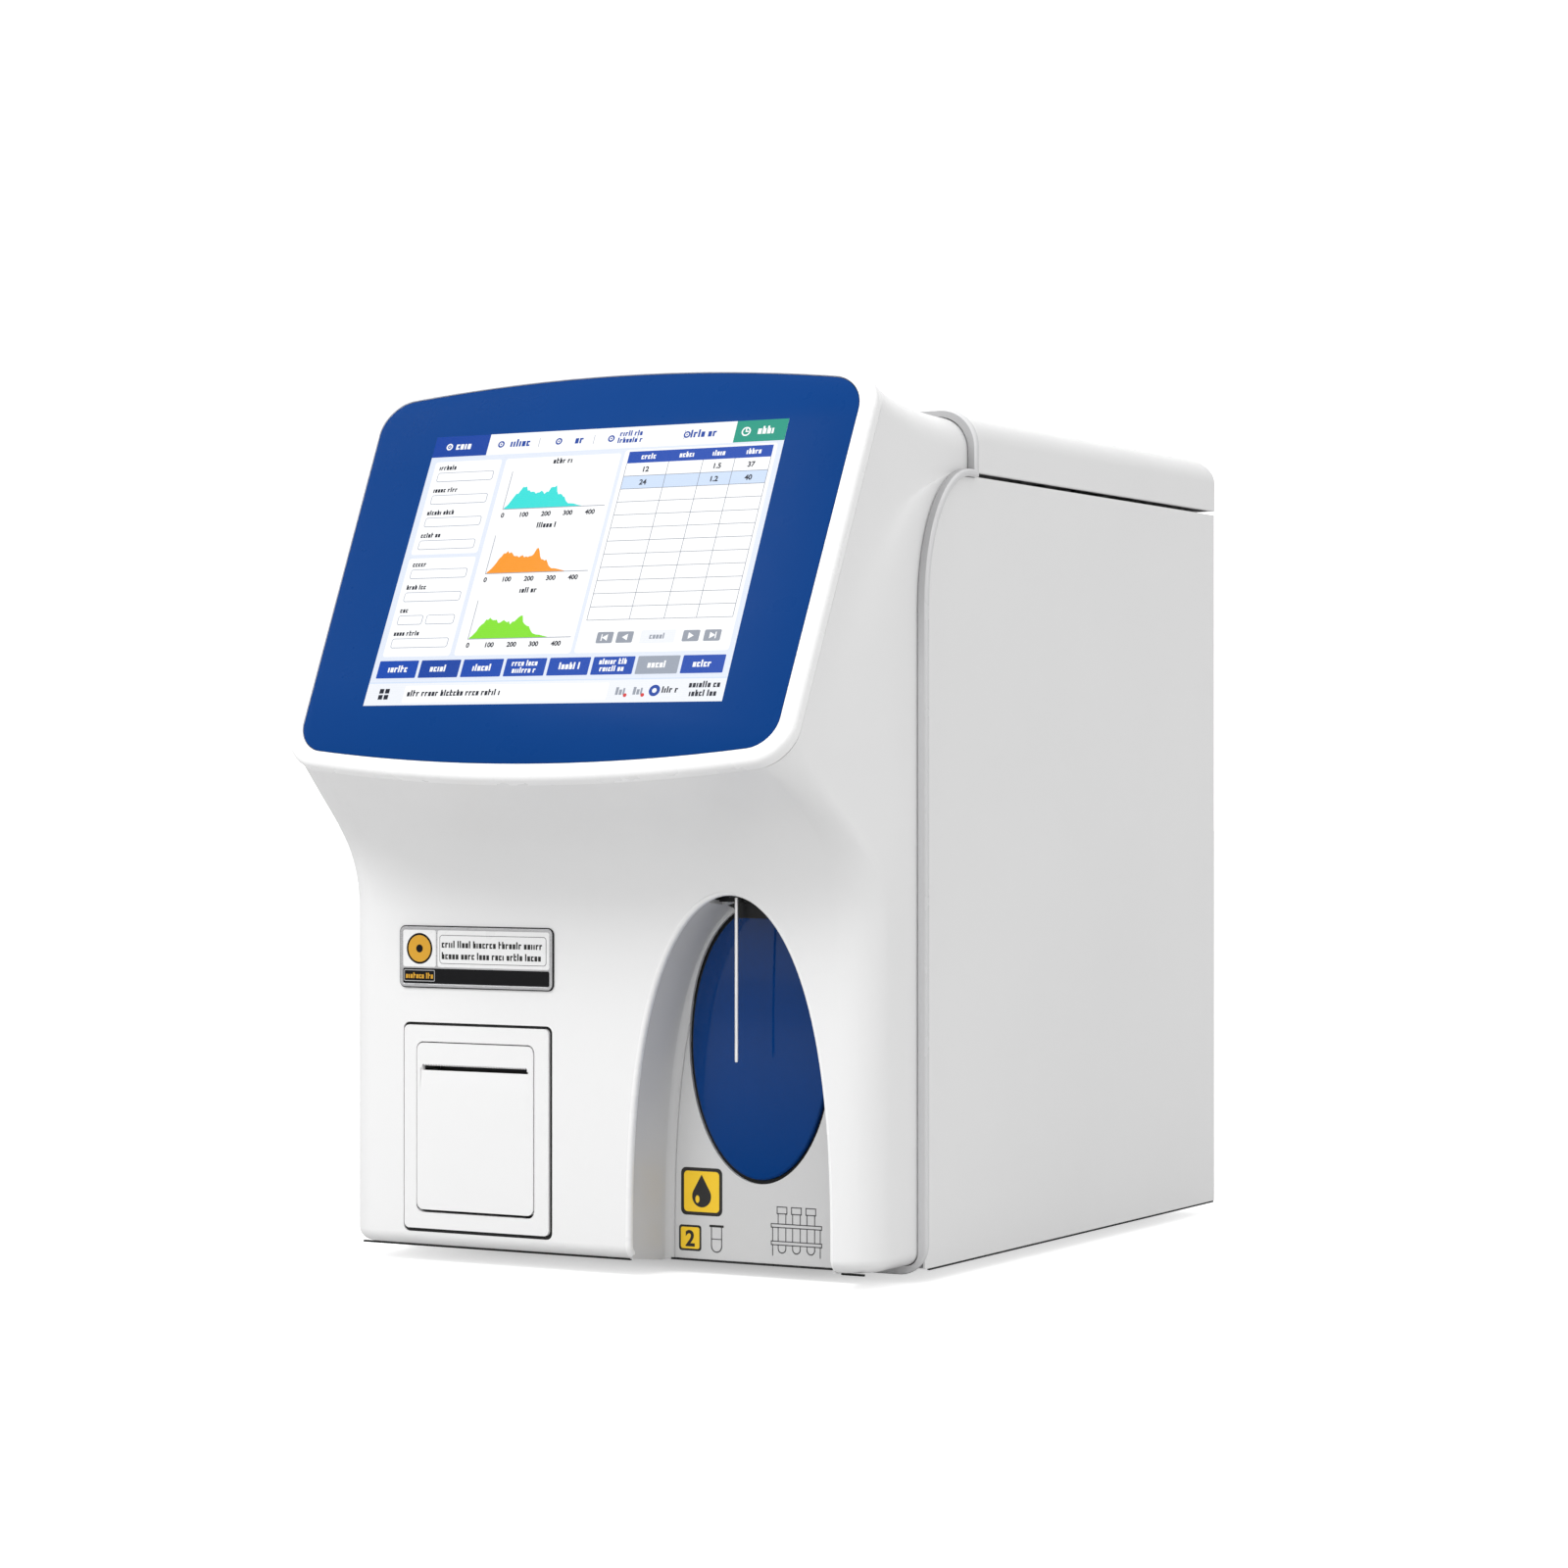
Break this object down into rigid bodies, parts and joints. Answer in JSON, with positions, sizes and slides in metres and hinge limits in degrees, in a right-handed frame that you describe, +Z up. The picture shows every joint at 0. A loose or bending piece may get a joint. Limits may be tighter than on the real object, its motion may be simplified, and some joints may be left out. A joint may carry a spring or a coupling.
{
  "type": "veterinary hematology analyzer",
  "caption": "Bench-top blood cell analyzer with a slanted touch screen, arched sampling bay with probe and blue aspirate key, front-loading strip printer and hinged top cover.",
  "frame": {"origin": "centre of the bounding box in plan, at the level of the underside of the feet", "axes": "+X to the right seen from the front, +Y to the back, +Z up; the screen faces -Y"},
  "size_m": [0.326, 0.5043, 0.4662],
  "materials": {
    "white_abs": "fine satin moulded plastic",
    "painted_sheet": "powder-coated sheet, fine texture",
    "bay_plastic": "satin grey plastic",
    "blue_key": "polished dark blue",
    "blue_panel": "blue border with a lit screen area",
    "black_plastic": "satin black",
    "dark_grey": "satin dark grey",
    "steel": "ground steel",
    "zinc_sheet": "zinc-plated sheet",
    "aluminium": "satin",
    "rubber": "matt black rubber",
    "paper": "thermal paper",
    "circuit_board": "green solder mask",
    "acrylic": "clear acrylic",
    "brass": "turned brass"
  },
  "bodies": {
    "chassis": {"front_casing": "white_abs", "rim_trim": "white_abs", "display_bezel": "white_abs", "printer_frame": "white_abs", "left_side_panel": "painted_sheet", "right_side_panel": "painted_sheet", "rear_panel": "painted_sheet", "sampling_bay_liner": "bay_plastic", "touch_panel": "blue_panel", "key_switch": "black_plastic", "wash_block": "black_plastic", "lift_motor": "black_plastic", "print_head": "black_plastic", "paper_spindle": "black_plastic", "fan_frame": "black_plastic", "power_inlet": "black_plastic", "syringe_motor": "black_plastic", "lcd_module": "dark_grey", "pump_body": "dark_grey", "guide_rod_left": "steel", "guide_rod_right": "steel", "door_pin": "steel", "fan_guard": "steel", "diluent_port": "steel", "lyse_port": "steel", "rear_screw_1": "steel", "rear_screw_2": "steel", "lift_frame": "zinc_sheet", "hinge_leaf_left": "zinc_sheet", "hinge_leaf_right": "zinc_sheet", "base_plate": "zinc_sheet", "power_supply": "zinc_sheet", "bath_bracket": "zinc_sheet", "syringe_bracket": "zinc_sheet", "port_block": "zinc_sheet", "label_plate": "aluminium", "valve_manifold": "aluminium", "foot_1": "rubber", "foot_2": "rubber", "foot_3": "rubber", "foot_4": "rubber", "main_board": "circuit_board", "wbc_bath": "acrylic", "rbc_bath": "acrylic", "syringe_barrel": "acrylic", "waste_port": "brass"},
    "top_cover_body": {"top_cover": "painted_sheet", "cover_knuckle_left": "zinc_sheet", "cover_knuckle_right": "zinc_sheet"},
    "key": {"aspirate_key": "blue_key"},
    "probe_lift_body": {"sample_probe": "steel", "probe_carriage": "dark_grey"},
    "screw": {"lead_screw": "steel"},
    "door": {"printer_door": "white_abs"},
    "roller": {"platen_roller": "rubber"},
    "roll": {"paper_roll": "paper"},
    "fan": {"fan_rotor": "black_plastic"},
    "rocker": {"rocker_switch": "black_plastic"},
    "pump": {"pump_rotor": "bay_plastic"},
    "plunger": {"syringe_plunger": "steel"}
  },
  "joints": [
    {"name": "cover_hinge", "type": "hinge", "parent": "chassis", "child": "top_cover_body", "pos_m": [0, 0.2498, 0.409], "axis": [-1, 0, 0], "range_deg": [0, 80]},
    {"name": "key_press", "type": "slide", "parent": "chassis", "child": "key", "axis": [0, 1, 0], "range_m": [0, 0.003], "stiffness_N_per_m": 600},
    {"name": "probe_lift", "type": "slide", "parent": "chassis", "child": "probe_lift_body", "axis": [0, 0, 1], "range_m": [0, 0.08]},
    {"name": "screw_spin", "type": "hinge", "parent": "chassis", "child": "screw", "pos_m": [0.0765, -0.1207, 0.2045], "axis": [0, 0, 1], "range_deg": [-10, 3610]},
    {"name": "door_hinge", "type": "hinge", "parent": "chassis", "child": "door", "pos_m": [-0.07435, -0.1784, 0.0297], "axis": [1, 0, 0], "range_deg": [0, 70]},
    {"name": "roller_spin", "type": "hinge", "parent": "door", "child": "roller", "pos_m": [-0.07435, -0.1719, 0.0952], "axis": [1, 0, 0], "continuous": true},
    {"name": "roll_spin", "type": "hinge", "parent": "chassis", "child": "roll", "pos_m": [-0.0735, -0.1477, 0.059], "axis": [1, 0, 0], "continuous": true},
    {"name": "fan_spin", "type": "hinge", "parent": "chassis", "child": "fan", "pos_m": [0.075, 0.2333, 0.322], "axis": [0, 1, 0], "continuous": true},
    {"name": "switch_rock", "type": "hinge", "parent": "chassis", "child": "rocker", "pos_m": [-0.05, 0.2438, 0.052], "axis": [1, 0, 0], "range_deg": [0, 10]},
    {"name": "pump_spin", "type": "hinge", "parent": "chassis", "child": "pump", "pos_m": [0.05, 0.0843, 0.062], "axis": [0, 1, 0], "continuous": true},
    {"name": "plunger_slide", "type": "slide", "parent": "chassis", "child": "plunger", "axis": [0, 0, 1], "range_m": [0, 0.038]}
  ],
  "couplings": [
    {"joint": "screw_spin", "follows": "probe_lift", "rad_per_m": 785.4}
  ]
}
